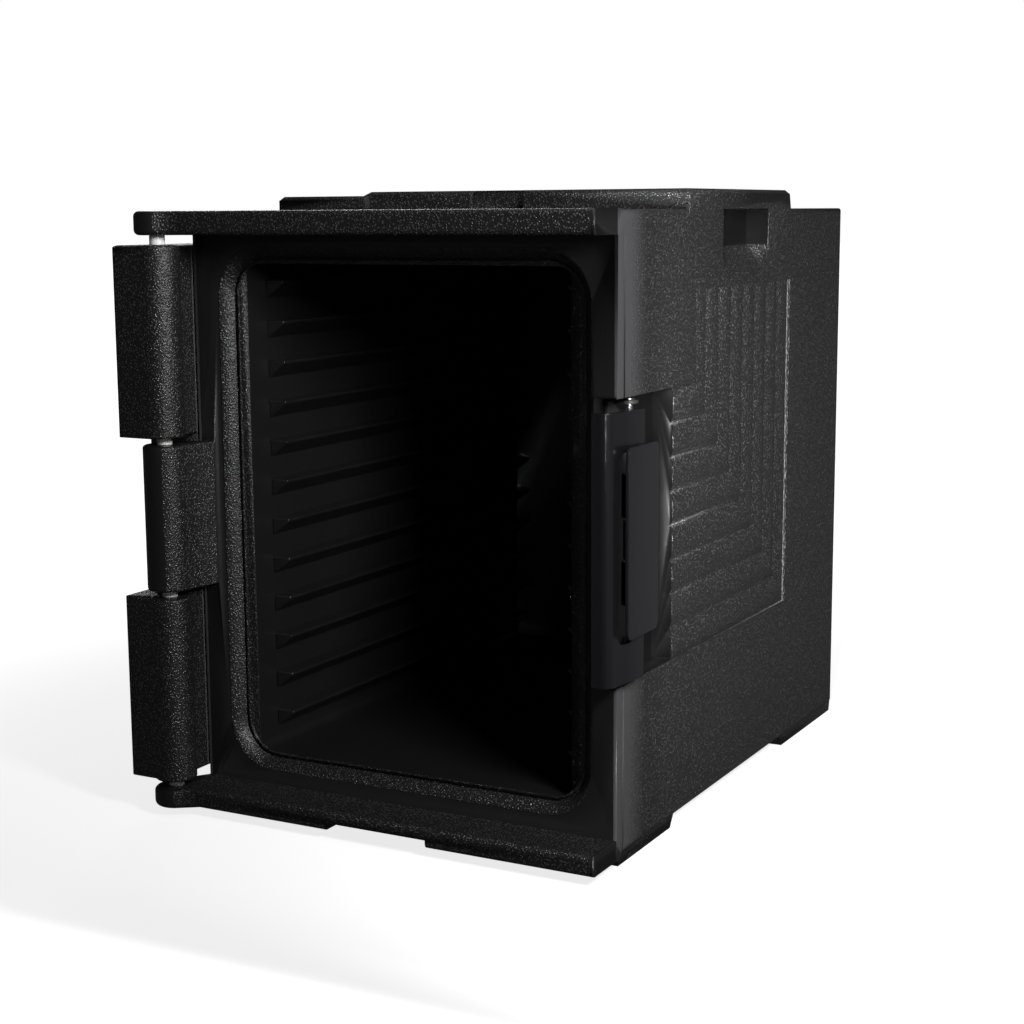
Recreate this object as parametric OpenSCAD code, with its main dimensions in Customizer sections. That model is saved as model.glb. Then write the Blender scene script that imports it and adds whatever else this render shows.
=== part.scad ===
// Insulated front-loading food carrier: a seamless double-wall case, a door on one long hinge pin,
// pan rails for full-size pans and a sprung side latch. Millimetres, Z up, the door swung fully open.
// Inside this file X = 0 is the middle of the case, Y = 0 its recessed front face, Z = 0 the ground.
// The last modules move every piece so that the origin is the middle of the whole footprint.

/* [Case] */
// Width across the side walls
case_w = 442; // [400:1:560]
// Depth from the recessed front face to the rear wall
case_d = 600; // [520:1:720]
// Height of the side walls' top edge above the ground
case_h = 576; // [500:1:720]
// Height of the feet
foot_h = 13; // [8:0.5:24]
// Thickness of the moulded skin
skin = 4; // [3:0.25:6]
// How far the top and bottom lips stand out in front
lip_out = 49; // [36:1:70]
// Thickness of the top lip
lip_top_t = 22; // [14:0.5:32]
// Thickness of the bottom lip
lip_low_t = 19; // [10:0.5:24]
// Height of the stacking slab above the side walls
slab_h = 18.5; // [10:0.5:30]
// Front edge of the stacking slab
slab_y = 155; // [120:1:200]
// Length of the stacking slab, front to rear
slab_len = 266; // [200:1:330]
// How far the slab's lower left end reaches in front of the rest
slab_lead = 12; // [0:1:20]

/* [Mouth and cavity] */
// Width of frame left beside the mouth
frame_side = 25; // [20:0.5:40]
// How far the mouth lies right of the case's middle, so that the hinge side's frame is wider
mouth_off = 1.5; // [0:0.5:2]
// Drop from the walls' top edge to the top of the mouth
frame_top = 31; // [28:0.5:60]
// Height of the mouth's lower edge above the walls' bottom
frame_low = 27; // [22:0.5:40]
// Corner radius of the mouth
mouth_r = 47; // [36:1:60]
// Width and depth of the slope round the mouth
mouth_slope = 10; // [9:0.5:16]
// Clear width between the cavity's side walls
cavity_w = 340; // [330:1:350]
// Thickness of the insulated rear wall
rear_wall = 44; // [30:1:60]

/* [Pan rails] */
// Height of the lowest rail's top above the cavity floor
rail_first = 34; // [22:1:60]
// Spacing of the rails
rail_pitch = 38.4; // [34:0.1:60]
// How far a rail stands out from the wall
rail_out = 19; // [14:0.5:22]
// Height of a rail where it meets the wall
rail_t = 17; // [12:0.5:22]

/* [Hinge] */
// Diameter of the hinge pin
pin_d = 9.5; // [7:0.5:12]
// Radius of the lugs on the two lips
lug_r = 21; // [20.5:0.5:28]
// Radius of the middle knuckle and of the door's columns
knuckle_r = 20.5; // [18:0.5:21]
// Gap between neighbouring knuckles
knuckle_gap = 7; // [5:0.5:14]
// Height of the middle knuckle
knuckle_h = 139; // [90:1:200]
// Distance of the pin outside the side wall
pin_out = 7; // [5:0.5:10]

/* [Door] */
// Thickness of the door slab
door_t = 45; // [38:1:54]
// Gap between the closed door and the front face
door_gap = 4; // [3:0.5:6]
// How deep the door's plug enters the mouth
plug_in = 12; // [6:0.5:12.5]
// Gap between the plug and the mouth's edge
plug_inset = 17; // [12:0.5:24]
// Diameter of the steam vent's cap
vent_d = 54; // [40:1:60]

/* [Latch] */
// Height of the latch plate
latch_h = 236; // [200:1:280]
// Thickness of the latch plate
latch_t = 4.5; // [3.5:0.5:6]
// Tilt of the latch plate, front edge inwards
latch_tilt = 7; // [3:0.5:9]
// Diameter of the latch's pivot pin
latch_pin_d = 5; // [4:0.5:7]
// Depth of the latch recess in the side wall
recess_deep = 21.5; // [18:0.5:23]
// Length of the latch recess, front to rear
recess_len = 122; // [100:0.5:130]

/* [Side panel] */
// Number of nested flutes
flute_count = 8; // [3:1:8]
// Spacing of the flutes
flute_pitch = 31.8; // [24:0.1:32]
// Depth of the grooves between the flutes
flute_deep = 4; // [2:0.5:5]

/* [Hidden] */
$fn = 96;

// Clearances: a seated piece, a running pin, foam in its skin, and the overshoot of a cut
seat = 0.02;
run = 0.05;
foam_gap = 0.2;
over = 1;

// Walls and lips
half_w = case_w / 2;
wall_z = foot_h - 1;
edge_r = 6;
rear_r = 14;
lip_top_z = case_h - lip_top_t + 1;
lip_drop = 3;
lip_low_z = wall_z - lip_drop;
lip_edge_r = 5;
lip_lift = lip_drop + 5;
lip_lift_w = 108;
foot_front = 7;
foot_rear = 1;
foot_clear = 5;
foot_slope = 9;
foot_x = 97;
foot_side = 4;
groove_y = 12;
groove_w = 3;
groove_deep = 1.2;

// Slab: its bevels, the step down to its lower left end, and the notch in its front
slab_bevel = 4;
slab_low = 4;
slab_step_x = -121;
slab_step_w = 7;
slab_sunk = case_h - edge_r - 1;
slab_top = case_h + slab_h;
notch_deep = 7;
notch_x0 = -11;
notch_x1 = 50;
notch_slant = 6;

// Mouth and cavity
mouth_w = case_w - 2 * frame_side;
mouth_z0 = wall_z + frame_low + 1;
mouth_z1 = case_h - frame_top;
mouth_h = mouth_z1 - mouth_z0;
mouth_mid = (mouth_z0 + mouth_z1) / 2;
rabbet = 4.5;
land_y = mouth_slope + rabbet;
land_low = 5;
land_top = 7;
bead_in = 2.5;
bead_w = 2.5;
bead_h = 1.5;
cavity_z0 = mouth_z0 + mouth_slope + land_low;
cavity_z1 = mouth_z1 - mouth_slope - land_top;
cavity_h = cavity_z1 - cavity_z0;
cavity_y1 = case_d - rear_wall;
cavity_r = 8;
cavity_edge = 3;

// Rails
rail_front = 45;
rail_tip_t = 3;
rail_z0 = cavity_z0 + rail_first;
rail_headroom = 8;
rail_count = floor((cavity_z1 - rail_headroom - rail_z0) / rail_pitch) + 1;

// Hinge: the pin runs from a blind bore in the top lug to a plug under the bottom lug
pin_x = -half_w - pin_out;
pin_y = -lip_out + 5;
pin_r = pin_d / 2;
bush_wall = 2.25;
bush_r = pin_r + run + bush_wall;
bush_len = 15;
spacer_r = 7.25;
low_lug_top = lip_low_z + lip_low_t;
door_z0 = low_lug_top + knuckle_gap;
door_top_gap = 2;
door_z1 = lip_top_z - knuckle_gap - door_top_gap;
knuckle_z0 = (door_z0 + door_z1 - knuckle_h) / 2;
knuckle_z1 = knuckle_z0 + knuckle_h;
retainer_len = 8;
pin_z0 = lip_low_z + retainer_len;
pin_z1 = lip_top_z + bush_len;
spacer_play = 0.2;

// Door, described closed; the pin stays where it is
door_y1 = -door_gap;
door_y0 = door_y1 - door_t;
door_x0 = pin_x - knuckle_r + 0.5;
door_x1 = half_w - 2;
door_w = door_x1 - door_x0;
door_h = door_z1 - door_z0;
door_mid_x = (door_x0 + door_x1) / 2;
door_mid_z = (door_z0 + door_z1) / 2;
door_edge_r = 6;
swing_r = norm([pin_out, pin_y]) - 1.2;
notch_clear = 1;
notch_x = pin_x - pin_y + notch_clear;
plug_r = mouth_r - plug_inset;
gasket_inset = 5;
gasket_y1 = 4;

// Steam vent in the door
vent_x = 0;
vent_z = mouth_z1 - 90;
vent_r = vent_d / 2;
vent_pocket = 8;
vent_tube_r = 14;
vent_bore_r = 10;
vent_flange_t = 3;
vent_seal_t = 1.5;
vent_nut_t = 6;
vent_nut_r = 22;
vent_cap_play = 0.4;

// Latch: its pivot stands in the recess, and its front edge hooks round the door's edge
latch_x = half_w - 8;
latch_y = 42;
latch_drop = 0.75;
latch_z0 = (knuckle_z0 + knuckle_z1) / 2 - latch_h / 2 - latch_drop;
latch_z1 = latch_z0 + latch_h;
recess_z0 = latch_z0 - 7;
recess_z1 = latch_z1 + 9.5;
recess_x = half_w - recess_deep;
recess_back = 14;
latch_outer = 22.3;
latch_inner = latch_outer - latch_t;
latch_front = -latch_y - 28;
latch_rear = -11.5;
latch_corner_r = 8;
hook_in = 5;
slot_y0 = -55;
slot_y1 = -26;
slot_r = 10;
slot_end = 35;
barrel_r = 6.8;
barrel_h = 38;
barrel_in = 60;
latch_bush_r = latch_pin_d / 2 + run + 1.4;
barrel_low_z = latch_z0 + barrel_in;
barrel_top_z = latch_z1 - barrel_in - barrel_h;
grip_t = 3;
grip_x = half_w + 13.5;
grip_y0 = -13;
grip_y1 = 50;
grip_inset_z = 40;
grip_h = latch_h - grip_inset_z - 30;
grip_z0 = latch_z0 + grip_inset_z;
grip_r = 7;
ear_t = 3;
bracket_t = 3;
bracket_w = 44;
screw_r = 2.5;
screw_head_r = 4.6;
screw_head_t = 2.4;
screw_len = 10;
ear_low_z = latch_z0 - 5;
ear_top_z = latch_z1 + 2;
// The grip's screws pass through the plate's rear strip into its pads
grip_screw_y = (slot_y1 + latch_rear) / 2;
// Torsion spring between the barrels
spring_wire = 1.6;
spring_r = latch_pin_d / 2 + 1.5 + spring_wire / 2;
spring_end = 1.5;

// The door's latch pocket, with its wear plate
pocket_x = 195;
pocket_y = -20;
striker_t = 1.5;
striker_w = 20;

// Flutes: nested L shapes whose mitres lie on one diagonal
flute_y = 172;
flute_z = recess_z1 - 0.5;
flute_top = flute_z + 87;
flute_gap = 0.8;
flute_chord = flute_pitch - flute_gap;
flute_r = (pow(flute_chord / 2, 2) + pow(flute_deep, 2)) / (2 * flute_deep);
flute_end_y = flute_y + flute_count * flute_pitch;
flute_end_z = flute_z - flute_count * flute_pitch;

// Hand holds under the slab: their floor slopes down towards the outside
hold_y0 = 237;
hold_y1 = 362;
hold_h = 61;
hold_deep = 25;
hold_cut = 14;
hold_slope_h = 26;

// Holes through which the foam was poured
fill_r = 15;
door_fill_r = 9;

// Footprint of the whole object, whose middle becomes the origin
reach_left = pin_x - plug_in + pin_y;
reach_right = grip_x + grip_t;
reach_front = pin_y - lug_r;
origin_x = (reach_left + reach_right) / 2;
origin_y = (reach_front + case_d) / 2;

// ---- Helpers ----

// A rectangle with rounded corners, centred
module round_rect(w, h, r) {
    square([w - 2 * r, h], center = true);
    square([w, h - 2 * r], center = true);
    for (x = [-1, 1], y = [-1, 1])
        translate([x * (w / 2 - r), y * (h / 2 - r)]) circle(r);
}

// Stands an outline drawn in X and Z up and gives it depth from y0 to y1
module upright(y0, y1) {
    translate([0, y1, 0]) rotate([90, 0, 0]) linear_extrude(y1 - y0) children();
}

// Turns an outline drawn in Y and Z sideways and gives it width from x0 to x1
module sideways(x0, x1) {
    translate([x0, 0, 0]) rotate([90, 0, 90]) linear_extrude(x1 - x0) children();
}

// A box from its two corners
module box(low, high) {
    translate(low) cube(high - low);
}

// A pin, bore or tube's solid from z0 to z1
module post(r, z0, z1) {
    translate([0, 0, z0]) cylinder(h = z1 - z0, r = r);
}

// A rod along X or Y from its first end
module rod_x(r, x0, x1) {
    translate([x0, 0, 0]) rotate([0, 90, 0]) cylinder(h = x1 - x0, r = r);
}

module rod_y(r, y0, y1) {
    translate([0, y1, 0]) rotate([90, 0, 0]) cylinder(h = y1 - y0, r = r);
}

// A round post whose two rims are rounded
module soft_post(r, edge, z0, z1) {
    rotate_extrude() {
        translate([0, z0]) square([r - edge, z1 - z0]);
        translate([0, z0 + edge]) square([r, z1 - z0 - 2 * edge]);
        for (z = [z0 + edge, z1 - edge]) translate([r - edge, z]) circle(edge, $fn = 32);
    }
}

// The same pieces on both sides of the case
module both_sides() {
    children();
    mirror([1, 0, 0]) children();
}

module at_pin() {
    translate([pin_x, pin_y, 0]) children();
}

// Swings what is drawn closed to the open position beside the case
module swung_open() {
    at_pin() rotate([0, 0, 90]) translate([-pin_x, -pin_y, 0]) children();
}

// Turns the latch's own axes, x outwards and y towards the rear, to their tilt at the pivot
module at_latch() {
    translate([latch_x, latch_y, 0]) rotate([0, 0, -latch_tilt]) children();
}

module at_vent() {
    translate([vent_x, 0, vent_z]) children();
}

// The mouth's outline drawn in by an inset, with the same corner centres
module mouth_outline(inset) {
    translate([mouth_off, mouth_mid]) round_rect(mouth_w - 2 * inset, mouth_h - 2 * inset, mouth_r - inset);
}

// ---- Case ----

module case_block() {
    intersection() {
        translate([0, (case_d - rear_r) / 2, wall_z - over])
            linear_extrude(case_h + 2 * over) round_rect(case_w, case_d + rear_r, rear_r);
        upright(0, case_d)
            translate([0, (wall_z + case_h) / 2]) round_rect(case_w, case_h - wall_z, edge_r);
        sideways(-half_w, half_w)
            translate([(case_d - edge_r) / 2, (wall_z + case_h) / 2])
                round_rect(case_d + edge_r, case_h - wall_z, edge_r);
    }
}

// Cross-section of a lip, with its two front edges rounded
module lip_profile(z0, t) {
    translate([-lip_out / 2 + lip_edge_r, z0 + t / 2])
        round_rect(lip_out + 2 * lip_edge_r, t, lip_edge_r);
}

module lip(z0, t) {
    intersection() {
        sideways(pin_x + knuckle_r, half_w) lip_profile(z0, t);
        translate([0, 0, z0 - over]) linear_extrude(t + 2 * over)
            round_rect(case_w, 2 * lip_out, edge_r);
    }
}

// A lug that carries one end of the hinge pin, blended into its lip
module lug(z0, t) {
    hull() {
        at_pin() soft_post(lug_r, lip_edge_r, z0, z0 + t, $fn = 48);
        sideways(pin_x + knuckle_r + 2, pin_x + knuckle_r + 8) lip_profile(z0, t, $fn = 32);
        sideways(-half_w, -half_w + edge_r) translate([0, z0 + 2]) square([edge_r, t - 4]);
    }
}

module middle_knuckle() {
    hull() {
        at_pin() soft_post(knuckle_r, 3, knuckle_z0, knuckle_z1, $fn = 48);
        box([-half_w, 0, knuckle_z0 + 1], [-half_w + 18, 2, knuckle_z1 - 1]);
    }
}

// Feet at the four corners, with slanted ends; stacked, they straddle the slab of the carrier below
module foot(y0, y1, front_slope, rear_slope) {
    sideways(foot_x, half_w - foot_side)
        polygon([[y0 + front_slope, 0], [y1 - rear_slope, 0], [y1, foot_h + over], [y0, foot_h + over]]);
}

// Raised slab for stacking, its edges bevelled; its left end is lower and reaches further forward
module slab_part(x0, x1, y0, top, left_bevel, right_bevel) {
    y1 = slab_y + slab_len;
    intersection() {
        upright(y0, y1 + slab_bevel)
            polygon([[x0, slab_sunk], [x0, top - slab_bevel], [x0 + left_bevel, top],
                [x1 - right_bevel, top], [x1, top - slab_bevel], [x1, slab_sunk]]);
        sideways(x0, x1)
            polygon([[y0, slab_sunk], [y0, top - slab_bevel], [y0 + slab_bevel, top + 0.01],
                [y1 - slab_bevel, top + 0.01], [y1, top - slab_bevel], [y1 + slab_bevel, case_h - 1],
                [y1 + slab_bevel, slab_sunk]]);
    }
}

module stacking_slab() {
    slab_part(-half_w, slab_step_x, slab_y - slab_lead, slab_top - slab_low, slab_bevel, 0);
    slab_part(slab_step_x - slab_step_w, half_w, slab_y, slab_top, slab_step_w, slab_bevel);
}

// The shallow notch in the middle of the slab's front
module slab_notch() {
    upright(slab_y - over, slab_y + notch_deep)
        polygon([[notch_x0, case_h + 1], [notch_x0 + notch_slant, slab_top + over],
            [notch_x1, slab_top + over], [notch_x1, case_h + 1]]);
}

// The round-cornered mouth: corners as cones, straight sides as slanted prisms
module mouth_cut() {
    half_x = mouth_w / 2;
    half_z = mouth_h / 2;
    s = mouth_slope;
    translate([mouth_off, 0, mouth_mid]) {
        for (x = [-1, 1], z = [-1, 1])
            translate([x * (half_x - mouth_r), 0, z * (half_z - mouth_r)]) rotate([-90, 0, 0])
                cylinder(h = s, r1 = mouth_r, r2 = mouth_r - s);
        translate([0, 0, -half_z + mouth_r]) linear_extrude(mouth_h - 2 * mouth_r)
            polygon([[-half_x, 0], [half_x, 0], [half_x - s, s], [s - half_x, s]]);
        sideways(-half_x + mouth_r, half_x - mouth_r)
            polygon([[0, -half_z], [0, half_z], [s, half_z - s], [s, s - half_z]]);
    }
    upright(-over, 0) mouth_outline(0);
    upright(mouth_slope, land_y) mouth_outline(mouth_slope);
}

module cavity_outline(grow) {
    translate([0, (cavity_z0 + cavity_z1) / 2])
        round_rect(cavity_w + 2 * grow, cavity_h + 2 * grow, cavity_r + grow);
}

module cavity_cut() {
    upright(land_y - over, cavity_y1) cavity_outline(0);
}

module latch_recess(grow, back) {
    box([recess_x - back, -over, recess_z0 - grow],
        [half_w + over, recess_len + grow, recess_z1 + grow]);
}

// Outline of a hand hold in Y and Z, its lower corners cut off
module hold_outline(grow) {
    z1 = case_h + grow;
    z0 = case_h - hold_h - grow;
    polygon([[hold_y0 - grow, z1], [hold_y0 - grow, z0 + hold_cut], [hold_y0 + hold_cut, z0],
        [hold_y1 - hold_cut - 3, z0], [hold_y1 + grow, z0 + hold_cut + 5], [hold_y1 + grow, z1]]);
}

// Cross-section of a hand hold in X and Z, its floor sloping down towards the outside
module hold_section(grow) {
    z0 = case_h - hold_h - grow;
    inner = half_w - hold_deep - grow;
    polygon([[inner, case_h + grow], [inner, z0 + hold_slope_h], [half_w, z0], [half_w + over, z0],
        [half_w + over, case_h + grow]]);
}

module hand_hold(grow) {
    intersection() {
        sideways(half_w - hold_deep - grow - over, half_w + over) hold_outline(grow);
        upright(hold_y0 - grow - over, hold_y1 + grow + over) hold_section(grow);
    }
}

// One flute's cross-section, its chord on the first axis
module flute_profile() {
    intersection() {
        translate([0, flute_deep - flute_r]) circle(flute_r, $fn = 128);
        translate([-flute_chord / 2, -over]) square([flute_chord, flute_deep + 2 * over]);
    }
}

// Area of the fluted panel in Y and Z: an L round the plain upper front of the wall
module flute_area() {
    polygon([[flute_y, flute_top], [flute_end_y, flute_top], [flute_end_y, flute_end_z],
        [recess_len - over, flute_end_z], [recess_len - over, flute_z], [flute_y, flute_z]]);
}

module panel_diagonal(sign) {
    reach = flute_count * flute_pitch + 120;
    sideways(half_w - flute_deep - 2 * over, half_w + over)
        polygon([[flute_y - 120, flute_z + 120], [flute_y + reach, flute_z - reach],
            [flute_y + reach * sign, flute_z + reach * sign]]);
}

module flutes() {
    floor_x = half_w - flute_deep;
    difference() {
        for (k = [0 : flute_count - 1])
            translate([floor_x, flute_y + (k + 0.5) * flute_pitch, flute_end_z])
                linear_extrude(flute_top - flute_end_z) rotate(-90) flute_profile();
        panel_diagonal(-1);
    }
    difference() {
        for (k = [0 : flute_count - 1])
            translate([floor_x, recess_len - over, flute_z - (k + 0.5) * flute_pitch])
                rotate([-90, 0, 0]) linear_extrude(flute_end_y - recess_len + over)
                    rotate(-90) flute_profile();
        panel_diagonal(1);
    }
}

module flute_recess() {
    sideways(half_w - flute_deep, half_w + over) flute_area();
}

// Space for the foam between the skins, drawn in by a gap
module foam_space(gap) {
    side = half_w - skin - flute_deep - gap;
    difference() {
        box([-side, skin + gap, wall_z + skin + gap], [side, case_d - skin - gap, case_h - skin - gap]);
        upright(-over, cavity_y1 + skin + gap) cavity_outline(skin + gap);
        upright(-over, land_y + skin + gap) mouth_outline(-skin - gap);
        latch_recess(skin + gap, recess_back + gap);
        both_sides() hand_hold(skin + gap);
    }
}

// Centres of the two holes through which the foam was poured
module at_case_fill_holes() {
    for (x = [-1, 1]) translate([x * case_w / 4, 0, wall_z + 60]) children();
}

// Bores for the hinge pin's bushes and for the plug under it
module case_pin_bores() {
    at_pin() {
        post(bush_r + seat, lip_top_z - over, pin_z1);
        post(bush_r + seat, knuckle_z0 - over, knuckle_z1 + over);
        post(bush_r + seat, lip_low_z - over, low_lug_top + over);
    }
}

module at_bracket_screws() {
    for (y = [-14, 14], z = [latch_z0 + 22, latch_z1 - 22])
        translate([recess_x, latch_y + y, z]) children();
}

// A bead round the land that the door's plug faces
module land_bead() {
    difference() {
        upright(land_y - bead_h, land_y + over) mouth_outline(mouth_slope + bead_in);
        upright(0, land_y + 2 * over) mouth_outline(mouth_slope + bead_in + bead_w);
    }
}

module case_shell() {
    color("#1b1b1d") land_bead();
    color("#1b1b1d") difference() {
        union() {
            difference() {
                union() {
                    case_block();
                    both_sides() {
                        foot(foot_front, slab_y - slab_lead - foot_clear, 5, foot_slope);
                        foot(slab_y + slab_len + foot_clear, case_d - foot_rear, foot_slope, 3);
                    }
                }
                both_sides() flute_recess();
            }
            both_sides() flutes();
            stacking_slab();
            lip(lip_top_z, lip_top_t);
            lip(lip_low_z, lip_low_t);
            lug(lip_top_z, lip_top_t);
            lug(lip_low_z, lip_low_t);
            middle_knuckle();
        }
        slab_notch();
        mouth_cut();
        cavity_cut();
        latch_recess(0, 0);
        both_sides() hand_hold(0);
        both_sides() box([half_w - groove_deep, groove_y, wall_z - over],
            [half_w + over, groove_y + groove_w, lip_top_z]);
        box([-lip_lift_w / 2, -lip_out - over, lip_low_z - over], [lip_lift_w / 2, 0, lip_low_z + lip_lift]);
        case_pin_bores();
        foam_space(0);
        at_case_fill_holes() rod_y(fill_r, case_d - skin - over, case_d + over);
        at_bracket_screws() rod_x(screw_r + seat, -screw_len, over);
    }
}

// A rail with a flat top and a sloping underside
module rail_outline() {
    polygon([[0, 0], [rail_out, 0], [rail_out, -rail_tip_t], [0, -rail_t]]);
}

module rails_left() {
    for (k = [0 : rail_count - 1])
        translate([-cavity_w / 2, 0, rail_z0 + k * rail_pitch])
            upright(rail_front, cavity_y1 - 1) rail_outline();
}

module left_pan_rails() {
    color("#161618") rails_left();
}

module right_pan_rails() {
    color("#161618") mirror([1, 0, 0]) rails_left();
}

module case_foam() {
    color("#e8d9a0") foam_space(foam_gap);
}

module case_fill_plugs() {
    color("#1b1b1d") at_case_fill_holes() rod_y(fill_r - run, case_d - skin, case_d);
}

// ---- Hinge ----

module bush(z0, len) {
    difference() {
        post(bush_r, z0, z0 + len);
        post(pin_r + run, z0 - over, z0 + len + over);
    }
}

module case_bushes() {
    color("#e6e4de") at_pin() {
        bush(lip_top_z, bush_len);
        bush(knuckle_z0, bush_len);
        bush(knuckle_z1 - bush_len, bush_len);
        bush(pin_z0 + 0.1, low_lug_top - pin_z0 - 0.1);
    }
}

module hinge_pin() {
    color("#c9ccce") at_pin() post(pin_r, pin_z0 + 0.1, pin_z1 - 0.3);
}

module spacer(z0, z1) {
    difference() {
        post(spacer_r, z0 + spacer_play, z1 - spacer_play);
        post(pin_r + run, z0, z1);
    }
}

module hinge_spacers() {
    color("#f1efe9") at_pin() {
        spacer(low_lug_top, door_z0);
        spacer(knuckle_z0 - knuckle_gap, knuckle_z0);
        spacer(knuckle_z1, knuckle_z1 + knuckle_gap);
        spacer(door_z1, lip_top_z);
    }
}

module pin_retainer() {
    color("#222224") at_pin() post(bush_r, lip_low_z + 0.3, pin_z0);
}

// ---- Door, drawn closed ----

module door_slab() {
    intersection() {
        upright(door_y0, door_y1)
            translate([door_mid_x, door_mid_z]) round_rect(door_w, door_h, 9);
        translate([0, 0, door_z0 - over]) linear_extrude(door_h + 2 * over)
            translate([door_mid_x, (door_y0 + door_y1) / 2])
                round_rect(door_w, door_t, door_edge_r);
        sideways(door_x0, door_x1)
            translate([(door_y0 + door_y1) / 2, door_mid_z]) round_rect(door_t, door_h, 4);
    }
}

// The slab's hinge edge is turned to a radius about the pin, so that it clears the case as it swings
module swing_clearance() {
    difference() {
        box([door_x0 - over, pin_y, door_z0 - over], [pin_x + 2, door_y1 + over, door_z1 + over]);
        at_pin() post(swing_r, door_z0 - 2 * over, door_z1 + 2 * over);
    }
}

module door_column(z0, z1) {
    at_pin() soft_post(knuckle_r - 0.5, 2.5, z0, z1);
}

module plug_block() {
    upright(door_y1 - over, plug_in) mouth_outline(plug_inset);
}

module door_foam_space(gap) {
    inner = skin + gap;
    box([notch_x + inner, door_y0 + inner, door_z0 + inner],
        [pocket_x - inner, door_y1 - inner, door_z1 - inner]);
}

module door_vent_cut() {
    at_vent() {
        rod_y(vent_r + 6, door_y0 - over, door_y0 + vent_pocket);
        rod_y(vent_tube_r + run, door_y0, plug_in + over);
        rod_y(vent_nut_r + 2, plug_in - vent_nut_t - 0.5, plug_in + over);
    }
}

module at_door_fill_holes() {
    for (x = [-1, 1]) translate([x * 90, (door_y0 + door_y1) / 2, 0]) children();
}

module at_striker_screws() {
    for (z = [-1, 1])
        translate([pocket_x + 2 + striker_w / 2, pocket_y, (latch_z0 + latch_z1) / 2 + z * (latch_h / 2 - 24)])
            children();
}

module door_shell() {
    color("#1b1b1d") swung_open() difference() {
        union() {
            difference() {
                door_slab();
                swing_clearance();
            }
            door_column(door_z0, knuckle_z0 - knuckle_gap);
            door_column(knuckle_z1 + knuckle_gap, door_z1);
            plug_block();
        }
        box([door_x0 - over, -lip_out - lug_r, knuckle_z0 - knuckle_gap],
            [notch_x, door_y1 + over, knuckle_z1 + knuckle_gap]);
        at_pin() post(bush_r + seat, door_z0 - over, door_z1 + over);
        box([pocket_x, door_y0 - over, recess_z0], [door_x1 + over, pocket_y, recess_z1]);
        door_foam_space(0);
        door_vent_cut();
        at_door_fill_holes() post(door_fill_r, door_z0 - over, door_z0 + skin + over);
        at_striker_screws() rod_y(screw_r + seat, -over, screw_len);
    }
}

module door_foam() {
    color("#e8d9a0") swung_open() difference() {
        door_foam_space(foam_gap);
        at_vent() {
            rod_y(vent_r + 6 + skin, door_y0 - over, door_y0 + vent_pocket + skin);
            rod_y(vent_tube_r + 1, door_y0, plug_in + over);
            rod_y(vent_nut_r + 2 + skin, plug_in - vent_nut_t - skin, plug_in + over);
        }
    }
}

module door_fill_plugs() {
    color("#1b1b1d") swung_open() at_door_fill_holes() post(door_fill_r - run, door_z0, door_z0 + skin);
}

module door_bushes() {
    color("#e6e4de") swung_open() at_pin() {
        bush(door_z0, bush_len);
        bush(knuckle_z0 - knuckle_gap - bush_len, bush_len);
        bush(knuckle_z1 + knuckle_gap, bush_len);
        bush(door_z1 - bush_len, bush_len);
    }
}

module door_gasket() {
    color("#2a2a2c") swung_open() difference() {
        upright(door_y1 + 0.05, gasket_y1) mouth_outline(gasket_inset);
        upright(door_y1, gasket_y1 + over) mouth_outline(plug_inset - 0.1);
    }
}

// ---- Steam vent ----

vent_y0 = door_y0 + vent_pocket;
vent_flange_y = vent_y0 - vent_seal_t - vent_flange_t;

module vent_body() {
    color("#2b2b2e") swung_open() at_vent() difference() {
        union() {
            rod_y(vent_r, vent_flange_y, vent_flange_y + vent_flange_t);
            rod_y(vent_tube_r, vent_flange_y, plug_in - 0.5);
        }
        rod_y(vent_bore_r, vent_flange_y - over, plug_in + over);
        rod_y(vent_bore_r + 1, vent_flange_y - over, vent_flange_y + 5);
    }
}

module vent_seal() {
    color("#3a3a3c") swung_open() at_vent() difference() {
        rod_y(vent_r - 1, vent_y0 - vent_seal_t + seat, vent_y0 - seat);
        rod_y(vent_tube_r + 0.3, vent_y0 - vent_seal_t - over, vent_y0 + over);
    }
}

module vent_nut() {
    color("#2b2b2e") swung_open() at_vent() difference() {
        rotate([0, 30, 0]) translate([0, plug_in - 0.5, 0]) rotate([90, 0, 0])
            cylinder(h = vent_nut_t - 0.1, r = vent_nut_r, $fn = 6);
        rod_y(vent_tube_r + run, 0, plug_in + over);
    }
}

// The cap turns on a spigot in the body's mouth; its finger bar lies across it
module vent_cap() {
    cap_y1 = vent_flange_y - vent_cap_play;
    color("#343438") swung_open() at_vent() difference() {
        union() {
            rod_y(vent_r - 1, door_y0 + 1.5, cap_y1);
            rod_y(vent_bore_r + 1 - run, cap_y1, vent_flange_y + 4.5);
            difference() {
                upright(door_y0 + 0.3, door_y0 + 1.5 + over) round_rect(2 * vent_r - 12, 8, 3.9);
                upright(door_y0 - over, door_y0 + 0.3) round_rect(2 * vent_r, 12, 3.9);
            }
        }
        for (a = [60, 120, 240, 300])
            rotate([0, a, 0]) translate([vent_bore_r - 4, 0, 0]) rod_y(1.6, door_y0, vent_flange_y + 6);
    }
}

// ---- Door's wear plate ----

module striker() {
    color("#b9bcbe") swung_open() difference() {
        box([pocket_x + 2, pocket_y - striker_t, recess_z0 + 8],
            [pocket_x + 2 + striker_w, pocket_y - seat, recess_z1 - 8]);
        at_striker_screws() rod_y(screw_r + seat, -striker_t - over, over);
    }
}

module striker_screws() {
    color("#c9ccce") swung_open() at_striker_screws() {
        rod_y(screw_r, -striker_t, screw_len - 1);
        rod_y(screw_head_r - 1, -striker_t - 0.9, -striker_t - seat);
    }
}

// ---- Latch ----

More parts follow.
